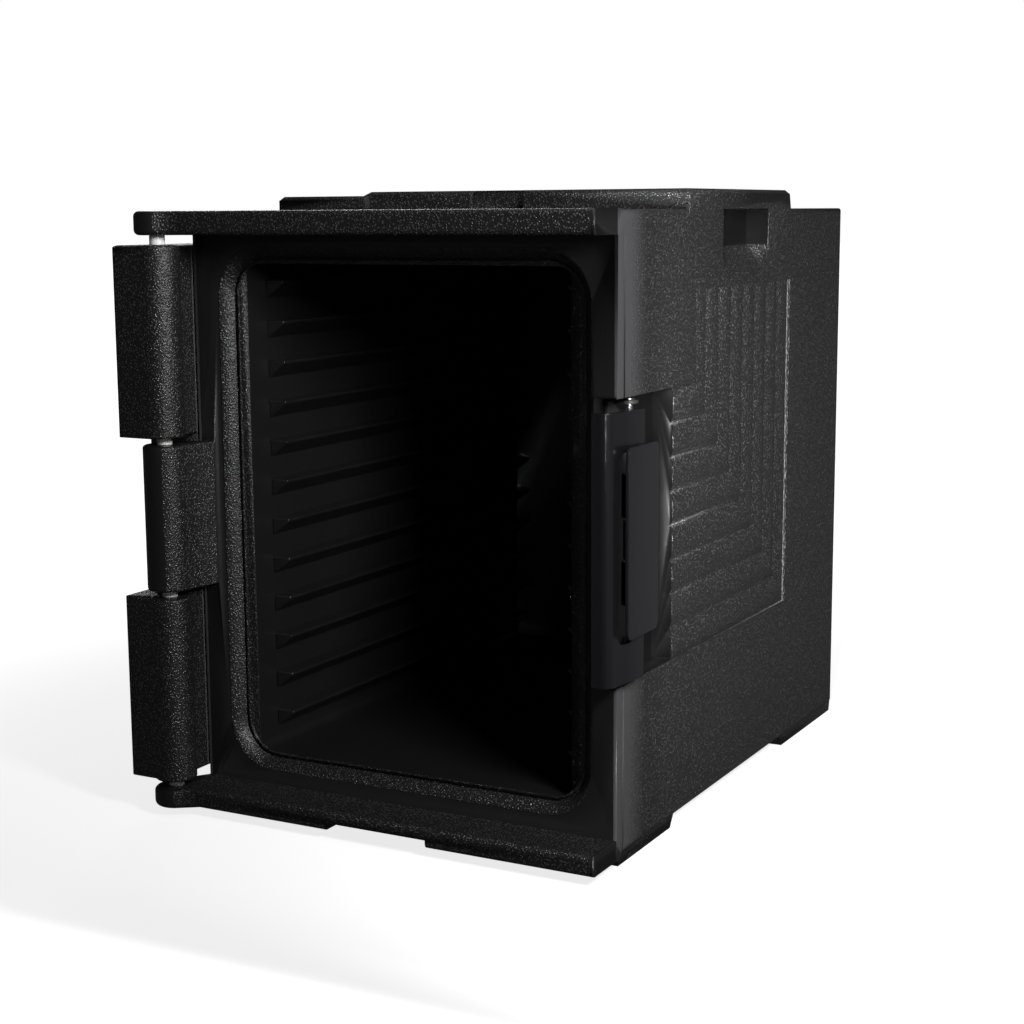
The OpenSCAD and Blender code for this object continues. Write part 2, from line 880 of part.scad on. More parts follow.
// Plan of the plate with its hooked front edge, in the latch's own axes
module latch_plan() {
    difference() {
        union() {
            translate([latch_inner, latch_front + latch_corner_r])
                square([latch_t, latch_rear - latch_front - latch_corner_r]);
            translate([hook_in, latch_front]) square([latch_outer - hook_in - latch_corner_r, latch_t]);
            translate([latch_outer - latch_corner_r, latch_front + latch_corner_r]) circle(latch_corner_r);
        }
        translate([latch_outer - latch_corner_r, latch_front + latch_corner_r])
            circle(latch_corner_r - latch_t);
        translate([hook_in - over, latch_front + latch_t])
            square([latch_inner - hook_in + over, latch_corner_r]);
        translate([0, latch_front + latch_corner_r])
            square([latch_inner, latch_corner_r]);
    }
}

// Finger slot, its corners rounded
module latch_slot() {
    sideways(latch_inner - over, latch_outer + over)
        translate([(slot_y0 + slot_y1) / 2, (latch_z0 + latch_z1) / 2])
            round_rect(slot_y1 - slot_y0, latch_h - 2 * slot_end, slot_r);
}

// Web from the plate's rear strip to a barrel round the pivot
module latch_web(z0) {
    translate([0, 0, z0]) linear_extrude(barrel_h) {
        circle(barrel_r);
        polygon([[latch_inner + 1, latch_rear], [3, barrel_r - 1], [-3, 1 - barrel_r],
            [latch_inner + 1, latch_rear - 9]]);
    }
}

module latch_plate() {
    color("#26242a") at_latch() difference() {
        union() {
            difference() {
                translate([0, 0, latch_z0]) linear_extrude(latch_h) latch_plan();
                latch_slot();
            }
            latch_web(barrel_low_z);
            latch_web(barrel_top_z);
        }
        post(latch_bush_r + seat, latch_z0, latch_z1);
        at_grip_screws() rod_x(screw_r - 0.5 + seat, latch_inner - over, latch_outer + over);
    }
}

module at_grip_screws() {
    for (z = [grip_z0 + 10, grip_z0 + grip_h / 2, grip_z0 + grip_h - 10])
        translate([0, grip_screw_y, z]) children();
}

// Raised paddle, parallel to the side wall, on pads that stand on the tilted plate
module latch_grip() {
    color("#2a292d") difference() {
        union() {
            sideways(grip_x, grip_x + grip_t)
                translate([(grip_y0 + grip_y1) / 2, grip_z0 + grip_h / 2])
                    round_rect(grip_y1 - grip_y0, grip_h, grip_r);
            difference() {
                box([latch_x, latch_y + slot_y1 + 1, grip_z0 + 4],
                    [grip_x + over, latch_y + latch_rear + 2, grip_z0 + grip_h - 4]);
                at_latch() box([-60, -60, grip_z0 - over],
                    [latch_outer + seat, 60, grip_z0 + grip_h + over]);
            }
        }
        at_latch() at_grip_screws() rod_x(screw_r - 0.5 + seat, latch_inner, latch_outer + 3.2);
    }
}

module grip_screws() {
    color("#c9ccce") at_latch() at_grip_screws() {
        rod_x(screw_r - 0.5, latch_inner - seat, latch_outer + 3);
        rod_x(screw_head_r - 1, latch_inner - seat - 1.6, latch_inner - seat);
    }
}

module latch_bush(z0) {
    difference() {
        post(latch_bush_r, z0, z0 + barrel_h);
        post(latch_pin_d / 2 + run, z0 - over, z0 + barrel_h + over);
    }
}

module latch_bushes() {
    color("#e6e4de") at_latch() {
        latch_bush(barrel_low_z);
        latch_bush(barrel_top_z);
    }
}

module latch_pin() {
    color("#d5d7d8") translate([latch_x, latch_y, 0]) {
        post(latch_pin_d / 2, ear_low_z - 1.6, ear_top_z + ear_t + 0.5);
        post(latch_pin_d / 2 + 1.5, ear_top_z + ear_t + 0.1, ear_top_z + ear_t + 2.1);
    }
}

// Spring clip that holds the pin up against the lower ear
module latch_clip() {
    color("#b9bcbe") translate([latch_x, latch_y, 0]) difference() {
        post(latch_pin_d / 2 + 2, ear_low_z - 1.2, ear_low_z - 0.2);
        post(latch_pin_d / 2 + seat, ear_low_z - 2, ear_low_z);
        box([0, -1.2, ear_low_z - 2], [latch_pin_d, 1.2, ear_low_z]);
    }
}

// The close-wound coil is one sleeve; its legs lean on the bracket and on the plate
module latch_spring() {
    z0 = barrel_low_z + barrel_h + spring_end;
    z1 = barrel_top_z - spring_end;
    wire_r = spring_wire / 2;
    color("#a9acae") translate([latch_x, latch_y, 0]) {
        difference() {
            post(spring_r + wire_r, z0, z1);
            post(spring_r - wire_r, z0 - over, z1 + over);
        }
        translate([0, spring_r, z0 + wire_r]) rod_x(wire_r, recess_x + bracket_t + 0.3 - latch_x, 0);
        rotate([0, 0, -latch_tilt]) translate([0, -spring_r, z1 - wire_r])
            rod_x(wire_r, 0, latch_inner - 7);
    }
}

module latch_bracket() {
    color("#2c2d2f") difference() {
        union() {
            box([recess_x, latch_y - bracket_w / 2, ear_low_z],
                [recess_x + bracket_t, latch_y + bracket_w / 2, ear_top_z + ear_t]);
            for (z = [ear_low_z, ear_top_z]) {
                box([recess_x, latch_y - 9, z], [latch_x, latch_y + 9, z + ear_t]);
                translate([latch_x, latch_y, 0]) post(7.5, z, z + ear_t);
            }
        }
        translate([latch_x, latch_y, 0]) post(latch_pin_d / 2 + seat, ear_low_z - over, ear_top_z + 9);
        at_bracket_screws() rod_x(screw_r + seat, -over, bracket_t + over);
    }
}

module bracket_screws() {
    color("#3c3d3f") at_bracket_screws() {
        rod_x(screw_r, 1 - screw_len, bracket_t);
        rod_x(screw_head_r, bracket_t + seat, bracket_t + screw_head_t);
    }
}

// ---- Placing ----

module placed() {
    translate([-origin_x, -origin_y, 0]) children();
}

placed() case_shell();
placed() left_pan_rails();
placed() right_pan_rails();
placed() case_foam();
placed() case_fill_plugs();
placed() case_bushes();
placed() hinge_pin();
placed() hinge_spacers();
placed() pin_retainer();
placed() door_shell();
placed() door_foam();
placed() door_fill_plugs();
placed() door_bushes();
placed() door_gasket();
placed() vent_body();
placed() vent_seal();
placed() vent_nut();
placed() vent_cap();
placed() striker();
placed() striker_screws();
placed() latch_plate();
placed() latch_grip();
placed() grip_screws();
placed() latch_bushes();
placed() latch_pin();
placed() latch_clip();
placed() latch_spring();
placed() latch_bracket();
placed() bracket_screws();
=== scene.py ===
"""Looks of an insulated food carrier: finishes, mouldings and studio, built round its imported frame."""
import math
import bmesh
import bpy
from mathutils import Matrix, Vector


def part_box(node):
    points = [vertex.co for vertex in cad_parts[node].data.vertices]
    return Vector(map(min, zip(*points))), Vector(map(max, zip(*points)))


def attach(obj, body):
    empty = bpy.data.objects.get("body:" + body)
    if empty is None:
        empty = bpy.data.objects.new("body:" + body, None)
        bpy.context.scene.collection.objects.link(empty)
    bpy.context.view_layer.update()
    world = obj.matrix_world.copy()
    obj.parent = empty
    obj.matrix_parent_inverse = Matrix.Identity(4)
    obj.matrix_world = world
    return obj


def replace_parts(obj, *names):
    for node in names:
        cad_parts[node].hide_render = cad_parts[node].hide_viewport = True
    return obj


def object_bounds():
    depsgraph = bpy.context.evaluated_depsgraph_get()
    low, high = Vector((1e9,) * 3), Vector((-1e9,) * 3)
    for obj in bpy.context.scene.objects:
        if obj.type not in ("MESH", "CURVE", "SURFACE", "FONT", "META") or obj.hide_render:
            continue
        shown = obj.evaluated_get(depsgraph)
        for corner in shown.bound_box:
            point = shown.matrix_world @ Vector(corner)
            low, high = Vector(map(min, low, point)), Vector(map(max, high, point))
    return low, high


bl_info = {
    "name": "Insulated Food Carrier",
    "version": (1, 0, 0),
    "blender": (4, 5, 0),
    "location": "View3D > Sidebar > Food Carrier",
    "description": "Dresses the packed food carrier with moulded plastics, metals and a wound spring",
    "category": "Object",
}

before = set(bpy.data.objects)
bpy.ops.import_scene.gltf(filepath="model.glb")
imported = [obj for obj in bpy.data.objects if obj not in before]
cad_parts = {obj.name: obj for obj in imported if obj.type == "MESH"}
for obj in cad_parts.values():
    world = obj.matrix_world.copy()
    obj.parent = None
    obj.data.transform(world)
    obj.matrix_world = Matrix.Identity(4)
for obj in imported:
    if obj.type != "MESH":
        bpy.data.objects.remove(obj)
CAD_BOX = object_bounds()

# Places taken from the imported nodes
FOAM_LOW, FOAM_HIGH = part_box("case_foam")
DOOR_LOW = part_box("door_shell")[0]
LATCH_PIN_LOW, LATCH_PIN_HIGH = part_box("latch_pin")
SPRING_LOW, SPRING_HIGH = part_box("latch_spring")
LATCH_AXIS = (LATCH_PIN_LOW + LATCH_PIN_HIGH) / 2
SKIN = 0.0042
MID_X = (FOAM_LOW.x + FOAM_HIGH.x) / 2
HALF_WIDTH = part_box("case_shell")[1].x - MID_X
FACE_Y = FOAM_LOW.y - SKIN

# Heights on the case
CAVITY_FLOOR = 0.050
CAVITY_CEILING = 0.533
HOLD_LOW = 0.5405
HOLD_HIGH = 0.5755
RECESS_LOW = 0.163
RECESS_HIGH = 0.419

# Depths behind the case's front face
LAND_DEPTH = 0.0148
CAVITY_REAR = 0.560
RECESS_REAR = 0.124
HOLD_FRONT = 0.234
HOLD_REAR = 0.366

# Thicknesses counted inwards from the outer walls
WALL_FACE = 0.003
WALL_DEPTH = 0.040
HOLLOW_START = 0.0012
HOLLOW_DEPTH = 0.030
DOOR_PLUG_DEPTH = 0.017

# Reach of the spring's free leg, radii of two small pieces, joining distance and softness of a zone's border
SPRING_REACH = 0.0108
GASKET_EDGE = 0.0015
SPACER_EDGE = 0.0005
WELD = 2e-6
SOFT = 0.001


# ---- Settings shown in the sidebar ----

def length(name, description, default):
    return bpy.props.FloatProperty(
        name=name, description=description, default=default, min=0, precision=5, unit="LENGTH")


def share(name, description, default):
    return bpy.props.FloatProperty(
        name=name, description=description, default=default, min=0, max=1, subtype="FACTOR")


def colour(name, description, default):
    return bpy.props.FloatVectorProperty(
        name=name, description=description, default=default, size=3, min=0, max=1, subtype="COLOR")


class CarrierEdges(bpy.types.PropertyGroup):
    """Radii of the edges, modelled on small pieces and shaded on the large mouldings"""

    shell: length("Shell edges", "Radius that the mouldings' edges are shaded with", 0.0022)
    rail: length("Rail edges", "Radius of the pan rails' edges", 0.0013)
    latch: length("Latch edges", "Radius of the latch's edges", 0.0009)
    metal: length("Metal edges", "Radius of the small metal pieces' edges", 0.0003)


class CarrierFinish(bpy.types.PropertyGroup):
    """Colours and textures of the carrier's plastics"""

    shell_colour: colour("Shell", "Colour of the rotomoulded shell", (0.0125, 0.0125, 0.013))
    liner_colour: colour("Liner", "Colour of the smooth inner surfaces", (0.0065, 0.0065, 0.007))
    latch_colour: colour("Latch", "Colour of the latch's moulded nylon", (0.0045, 0.0043, 0.0055))
    nylon_colour: colour("Bushes", "Colour of the hinge's spacers and bushes", (0.72, 0.71, 0.69))
    pebble: length("Pebble size", "Width of one pebble in the shell's texture", 0.0022)
    pebble_height: length("Pebble height", "Height of the shell's texture", 0.0008)
    strip: length("Smooth strip", "Width of the smooth strip behind the front face", 0.027)


class CarrierStudio(bpy.types.PropertyGroup):
    """The studio's camera"""

    lens: bpy.props.FloatProperty(name="Lens", description="Focal length on a 36 mm sensor", default=65.0)
    eye: bpy.props.FloatVectorProperty(
        name="Eye", description="Where the camera stands", default=(0.89715, -1.6844, 0.5748), size=3,
        subtype="XYZ", unit="LENGTH")
    turn: bpy.props.FloatProperty(
        name="Azimuth", description="Turn of the view about the vertical", default=math.radians(28.047),
        subtype="ANGLE", unit="ROTATION")
    height: bpy.props.FloatProperty(
        name="Elevation", description="How far the view looks down", default=math.radians(9.239),
        subtype="ANGLE", unit="ROTATION")
    roll: bpy.props.FloatProperty(
        name="Roll", description="Tilt of the view about its own axis", default=math.radians(-0.358),
        subtype="ANGLE", unit="ROTATION")


# ---- Shader maths written as Python ----

class Field:
    """One shader socket that can stand in a Python expression"""

    def __init__(self, paint, socket):
        self.paint = paint
        self.socket = socket

    def maths(self, operation, *others, flip=False):
        terms = [self, *others]
        if flip:
            terms.reverse()
        return self.paint.add("ShaderNodeMath", {"operation": operation}, terms)

    def __add__(self, other):
        return self.maths("ADD", other)

    def __sub__(self, other):
        return self.maths("SUBTRACT", other)

    def __rsub__(self, other):
        return self.maths("SUBTRACT", other, flip=True)

    def __mul__(self, other):
        return self.maths("MULTIPLY", other)

    def __gt__(self, other):
        return self.maths("GREATER_THAN", other)

    def __lt__(self, other):
        return self.maths("LESS_THAN", other)

    def __or__(self, other):
        return self.maths("MAXIMUM", other)

    def __abs__(self):
        return self.maths("ABSOLUTE")

    __radd__ = __add__


class Paint:
    """A material, or a world, whose nodes are added by one method"""

    def __init__(self, name, library=None):
        self.material = (bpy.data.materials if library is None else library).new(name)
        self.material.use_nodes = True
        self.tree = self.material.node_tree
        self.shader = self.tree.nodes[0]
        for node in self.tree.nodes:
            if node.bl_idname in {"ShaderNodeBsdfPrincipled", "ShaderNodeBackground"}:
                self.shader = node

    def add(self, kind, settings=(), inputs=(), output=0):
        """Adds a node, sets it up, feeds its sockets with values or links, returns one output"""
        node = self.tree.nodes.new(kind)
        for key, value in dict(settings).items():
            if key == "stops":
                while len(node.color_ramp.elements) < len(value):
                    node.color_ramp.elements.new(0.5)
                for element, (place, tint) in zip(node.color_ramp.elements, value):
                    element.position = place
                    element.color = tint
            else:
                setattr(node, key, value)
        pairs = inputs.items() if isinstance(inputs, dict) else enumerate(inputs)
        for key, value in pairs:
            self.feed(node.inputs[key], value)
        return Field(self, node.outputs[output])

    def feed(self, socket, value):
        if isinstance(value, Field):
            self.tree.links.new(value.socket, socket)
        elif socket.type == "RGBA":
            socket.default_value = (*value[:3], 1)
        else:
            socket.default_value = value

    def place(self):
        """The point on the piece, in metres"""
        return self.add("ShaderNodeTexCoord", output="Object")

    def axis(self, name):
        return self.add("ShaderNodeSeparateXYZ", inputs=[self.place()], output=name)

    def noise(self, size, detail=2, rough=0.5):
        settings = {"noise_dimensions": "3D"}
        inputs = {"Vector": self.place(), "Scale": 1 / size, "Detail": detail, "Roughness": rough}
        return self.add("ShaderNodeTexNoise", settings, inputs)

    def cells(self, size, soft=0.6):
        settings = {"feature": "SMOOTH_F1"}
        inputs = {"Vector": self.place(), "Scale": 1 / size, "Smoothness": soft}
        return self.add("ShaderNodeTexVoronoi", settings, inputs, "Distance")

    def streaks(self, size, stretch):
        """Noise drawn out along one axis, as on brushed or drawn metal"""
        spread = self.add("ShaderNodeMapping", {}, {"Vector": self.place(), "Scale": stretch})
        return self.add("ShaderNodeTexNoise", {}, {"Vector": spread, "Scale": 1 / size, "Detail": 3})

    def fade(self, field, low, high):
        settings = {"interpolation_type": "SMOOTHSTEP"}
        inputs = {"Value": field, "From Min": low, "From Max": high}
        return self.add("ShaderNodeMapRange", settings, inputs)

    def blend(self, factor, first, second):
        """A colour between two colours"""
        settings = {"data_type": "RGBA"}
        return self.add("ShaderNodeMix", settings, {0: factor, 6: first, 7: second}, 2)

    def finish(self, **sockets):
        for name, value in sockets.items():
            self.feed(self.shader.inputs[name.replace("_", " ")], value)
        return self.material

    def bump(self, height, distance, rounding=0.0008):
        """Relief on top of edges that are shaded as rounded"""
        edge = self.add("ShaderNodeBevel", {"samples": 6}, {"Radius": rounding})
        inputs = {"Strength": 1.0, "Distance": distance, "Height": height, "Normal": edge}
        return self.add("ShaderNodeBump", {}, inputs)


def tinted(tint, gain):
    return tuple(min(1, part * gain) for part in tint)


# ---- Finishes ----

def pebbles(paint, finish):
    """Height of the leather-like texture that the mould leaves on outer surfaces, 0 to 1"""
    warp = paint.noise(finish.pebble * 0.8, 2, 0.6)
    grains = 1 - paint.fade(paint.cells(finish.pebble, 0.3), 0.10, 0.60)
    swell = paint.noise(finish.pebble * 3, 2, 0.5)
    return grains * 0.55 + warp * 0.6 + swell * 0.3


def between(paint, field, low, high, soft):
    """1 where a field lies between two values, with soft ends"""
    return paint.fade(field, low - soft, low + soft) * (1 - paint.fade(field, high - soft, high + soft))


def hollows(paint):
    """The latch's recess in the right wall and the two hand holds, which little light reaches"""
    across = paint.axis("X") - MID_X
    height = paint.axis("Z")
    depth = paint.axis("Y") - FACE_Y
    behind = between(paint, abs(across), HALF_WIDTH - HOLLOW_DEPTH, HALF_WIDTH - HOLLOW_START, SOFT * 0.3)
    recess = between(paint, height, RECESS_LOW, RECESS_HIGH, SOFT) * (depth < RECESS_REAR) * (across > 0)
    hold = between(paint, height, HOLD_LOW, HOLD_HIGH, SOFT)
    hold = hold * between(paint, depth, HOLD_FRONT, HOLD_REAR, SOFT)
    return behind * (recess | hold)


def smooth_places(paint, finish):
    """Where the case is smooth: the front face, the strip behind it, the cavity and the hollows"""
    side = abs(paint.axis("X") - MID_X)
    depth = paint.axis("Y") - FACE_Y
    wall = side > HALF_WIDTH - WALL_FACE
    strip = wall * (depth < finish.strip)
    inside = (side < HALF_WIDTH - WALL_DEPTH) * between(paint, depth, LAND_DEPTH, CAVITY_REAR, SOFT * 0.1)
    inside = inside * between(paint, paint.axis("Z"), CAVITY_FLOOR, CAVITY_CEILING, SOFT)
    face = between(paint, depth, -1.2 * SOFT, 0.9 * SOFT, 0.3 * SOFT) * (side < HALF_WIDTH - SOFT)
    return strip | inside | face | hollows(paint)


def front_edge_painted_highlight(paint, finish):
    """How near a place on the outer walls is to the strip along their front edge; the shell's colour is
    painted lighter there as a painted highlight
    """
    side = abs(paint.axis("X") - MID_X)
    depth = paint.axis("Y") - FACE_Y
    near = 1 - paint.fade(depth, 0.2 * finish.strip, 2.4 * finish.strip)
    return near * (side > HALF_WIDTH - WALL_FACE) * (depth > -SOFT)


def shell_material(name, smooth_of):
    """Black rotomoulded plastic, pebbled outside and satin where smooth_of says so, with painted glints on
    the pebbles' peaks, a painted highlight along the walls' front edge and painted shade in the latch's
    recess and hand holds
    """
    finish = bpy.context.scene.carrier_finish
    edges = bpy.context.scene.carrier_edges
    paint = Paint(name)
    smooth = smooth_of(paint, finish)
    height = pebbles(paint, finish)
    cloudy = paint.noise(0.05, 3, 0.6)
    worn = paint.fade(paint.noise(0.006, 4, 0.7), 0.56, 0.70)
    peaks = paint.fade(height, 0.62, 0.92)
    # Painted glints: the pebbles' peaks are painted lighter than the shell's colour, in place of the glints
    # of light on them.
    pebble_tint_with_painted_glints = paint.blend(peaks, tinted(finish.shell_colour, 0.42), tinted(finish.shell_colour, 2.9))
    tint = paint.blend(smooth, pebble_tint_with_painted_glints, tuple(finish.liner_colour))
    # Painted highlight: the outer walls are painted lighter along their front edge, fading towards the rear.
    tint = paint.blend(front_edge_painted_highlight(paint, finish), tint, tinted(finish.shell_colour, 4.0))
    # Painted shade: the latch's recess and the two hand holds are painted darker than the liner.
    tint = paint.blend(hollows(paint), tint, tinted(finish.liner_colour, 0.25))
    rough = 0.42 - peaks * 0.20 + cloudy * 0.05
    sheen = 0.30 + paint.noise(0.03, 2) * 0.10 + worn * 0.06
    roughness = rough * (1 - smooth) + sheen * smooth
    fine = paint.noise(0.0012, 2) * 0.06
    relief = height * (1 - smooth) + fine * smooth
    return paint.finish(Base_Color=tint, Roughness=roughness, Specular_IOR_Level=0.5,
                        Normal=paint.bump(relief, finish.pebble_height, edges.shell))


def door_smooth_places(paint, finish):
    """Where the open door is smooth: its plug and the face round it"""
    return paint.axis("X") < DOOR_LOW.x + DOOR_PLUG_DEPTH


def liner_material():
    """Smooth satin black plastic of the cavity and its rails"""
    finish = bpy.context.scene.carrier_finish
    paint = Paint("satin_black_liner")
    cloudy = paint.noise(0.04, 3)
    tint = paint.blend(cloudy, tinted(finish.liner_colour, 0.8), tinted(finish.liner_colour, 1.3))
    relief = paint.noise(0.0015, 2)
    return paint.finish(Base_Color=tint, Roughness=0.30 + cloudy * 0.14,
                        Normal=paint.bump(relief, 0.00004))


def latch_material():
    """Satin black nylon with a faint violet cast and flow marks"""
    finish = bpy.context.scene.carrier_finish
    paint = Paint("satin_latch_nylon")
    flow = paint.streaks(0.02, (1, 1, 0.12))
    tint = paint.blend(flow, tinted(finish.latch_colour, 0.85), tinted(finish.latch_colour, 1.2))
    grain = paint.noise(0.0006, 2)
    return paint.finish(Base_Color=tint, Roughness=0.22 + flow * 0.08,
                        Normal=paint.bump(grain, 0.00002))


def nylon_material():
    """Off-white turned nylon"""
    finish = bpy.context.scene.carrier_finish
    paint = Paint("off_white_nylon")
    cloudy = paint.noise(0.006, 2)
    tint = paint.blend(cloudy, tinted(finish.nylon_colour, 0.88), tinted(finish.nylon_colour, 1.05))
    rings = paint.streaks(0.003, (0.2, 0.2, 6))
    return paint.finish(Base_Color=tint, Roughness=0.38 + cloudy * 0.1, Normal=paint.bump(rings, 0.00003))


def metal_material(name, tint, roughness, stretch):
    """Metal with streaks along its length"""
    paint = Paint(name)
    marks = paint.streaks(0.004, stretch)
    shade = paint.blend(marks, tinted(tint, 0.86), tinted(tint, 1.08))
    return paint.finish(Base_Color=shade, Metallic=1.0, Roughness=roughness + marks * 0.14,
                        Normal=paint.bump(marks, 0.00002))


def coated_material():
    """Steel under a matt black coating"""
    paint = Paint("black_coated_steel")
    mottle = paint.noise(0.004, 3, 0.6)
    tint = paint.blend(mottle, (0.010, 0.010, 0.011), (0.020, 0.020, 0.021))
    return paint.finish(Base_Color=tint, Roughness=0.45 + mottle * 0.15,
                        Normal=paint.bump(paint.noise(0.0005, 2), 0.00003))


def rubber_material():
    """Matt black rubber with a dusty bloom"""
    paint = Paint("matt_rubber")
    bloom = paint.noise(0.008, 4, 0.7)
    tint = paint.blend(bloom, (0.018, 0.018, 0.019), (0.034, 0.034, 0.036))
    return paint.finish(Base_Color=tint, Roughness=0.62 + bloom * 0.2,
                        Normal=paint.bump(paint.noise(0.0008, 2), 0.00004))


def foam_material():
    """Rigid yellow foam with open cells"""
    paint = Paint("rigid_foam")
    pores = paint.cells(0.002)
    tint = paint.blend(pores, (0.62, 0.50, 0.26), (0.80, 0.70, 0.44))
    return paint.finish(Base_Color=tint, Roughness=0.9, Normal=paint.bump(pores, 0.0006))


# ---- Modelling helpers ----

def merged_copy(node):
    """A bmesh copy of a CAD node whose loose triangles are joined"""
    form = bmesh.new()
    form.from_mesh(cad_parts[node].data)
    bmesh.ops.remove_doubles(form, verts=form.verts, dist=WELD)
    return form


def soften(form, radius, segments=3, angle=math.radians(33)):
    """Joins the flat areas and rounds the sharp edges as far as their neighbours leave room"""
    bmesh.ops.dissolve_degenerate(form, edges=form.edges, dist=WELD)
    bmesh.ops.dissolve_limit(form, angle_limit=math.radians(0.4), use_dissolve_boundaries=False,
                             verts=form.verts, edges=form.edges)
    sharp = [edge for edge in form.edges if edge.is_manifold and edge.calc_face_angle() > angle]
    bmesh.ops.bevel(form, geom=sharp, offset=radius, offset_type="OFFSET", affect="EDGES",
                    segments=segments, profile=0.5, clamp_overlap=True, material=-1)


def show(form, name, body, material, smooth_angle=math.radians(35)):
    """Turns a bmesh into a shown piece that rides on a body"""
    mesh = bpy.data.meshes.new(name)
    form.to_mesh(mesh)
    form.free()
    for polygon in mesh.polygons:
        polygon.use_smooth = True
    mesh.set_sharp_from_angle(angle=smooth_angle)
    mesh.materials.append(material)
    piece = bpy.data.objects.new(name, mesh)
    bpy.context.scene.collection.objects.link(piece)
    weighted = piece.modifiers.new("Even shading", "WEIGHTED_NORMAL")
    weighted.keep_sharp = True
    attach(piece, body)
    return piece


def softened(node, name, body, material, radius, segments=3):
    """A CAD node's piece with rounded edges, shown in the node's place"""
    form = merged_copy(node)
    soften(form, radius, segments)
    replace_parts(show(form, name, body, material), node)


def socket_heads(form, depth=0.0011, rim=0.45, edge=0.04, fewest_sides=8, alike=0.8):
    """Sinks a round drive socket into the outer face of every screw's head"""
    flats = [face for face in form.faces if len(face.verts) >= fewest_sides]
    largest = max(face.calc_area() for face in flats)
    heads = [face for face in flats if face.calc_area() > alike * largest]
    radius = math.sqrt(largest / math.pi)
    bmesh.ops.inset_individual(form, faces=heads, thickness=radius * rim)
    bmesh.ops.inset_individual(form, faces=heads, thickness=radius * edge, depth=-depth)


def moulded(node, name, body, material):
    """A CAD node's moulding with evenly shaded curves, shown in the node's place"""
    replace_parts(show(merged_copy(node), name, body, material), node)


def screws(node, name, body, material, rounding):
    """A node's screws with rounded heads and drive sockets, shown in the node's place"""
    form = merged_copy(node)
    soften(form, rounding, 2)
    socket_heads(form)
    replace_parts(show(form, name, body, material), node)


def dress(names, material):
    """Gives carried-over CAD nodes their material"""
    for name in names:
        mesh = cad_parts[name].data
        mesh.materials.clear()
        mesh.materials.append(material)


# ---- Operators ----

class CARRIER_OT_case(bpy.types.Operator):
    """Make the case's moulding and its pan rails, and finish its inner parts"""

    bl_idname = "carrier.case"
    bl_label = "Case"

    def execute(self, context):
        edges = context.scene.carrier_edges
        shell = shell_material("pebbled_case_plastic", smooth_places)
        liner = liner_material()
        moulded("case_shell", "case_moulding", "case", shell)
        softened("left_pan_rails", "left_rail_mouldings", "case", liner, edges.rail)
        softened("right_pan_rails", "right_rail_mouldings", "case", liner, edges.rail)
        dress(["case_fill_plugs", "pin_retainer", "door_fill_plugs"], liner)
        dress(["case_foam", "door_foam"], foam_material())
        return {"FINISHED"}


class CARRIER_OT_door(bpy.types.Operator):
    """Make the door's moulding, its gasket and its steam vent"""

    bl_idname = "carrier.door"
    bl_label = "Door"

    def execute(self, context):
        edges = context.scene.carrier_edges
        shell = shell_material("pebbled_door_plastic", door_smooth_places)
        moulded("door_shell", "door_moulding", "door", shell)
        rubber = rubber_material()
        softened("door_gasket", "door_seal", "door", rubber, GASKET_EDGE)
        dress(["vent_seal"], rubber)
        nylon = latch_material()
        softened("vent_cap", "vent_turn_cap", "vent", nylon, edges.latch / 2)
        dress(["vent_body", "vent_nut"], nylon)
        return {"FINISHED"}


class CARRIER_OT_latch(bpy.types.Operator):
    """Make the latch's plate and grip"""

    bl_idname = "carrier.latch"
    bl_label = "Latch"

    def execute(self, context):
        edges = context.scene.carrier_edges
        nylon = latch_material()
        moulded("latch_plate", "latch_plate_moulding", "latch", nylon)
        softened("latch_grip", "latch_grip_moulding", "latch", nylon, edges.latch)
        return {"FINISHED"}


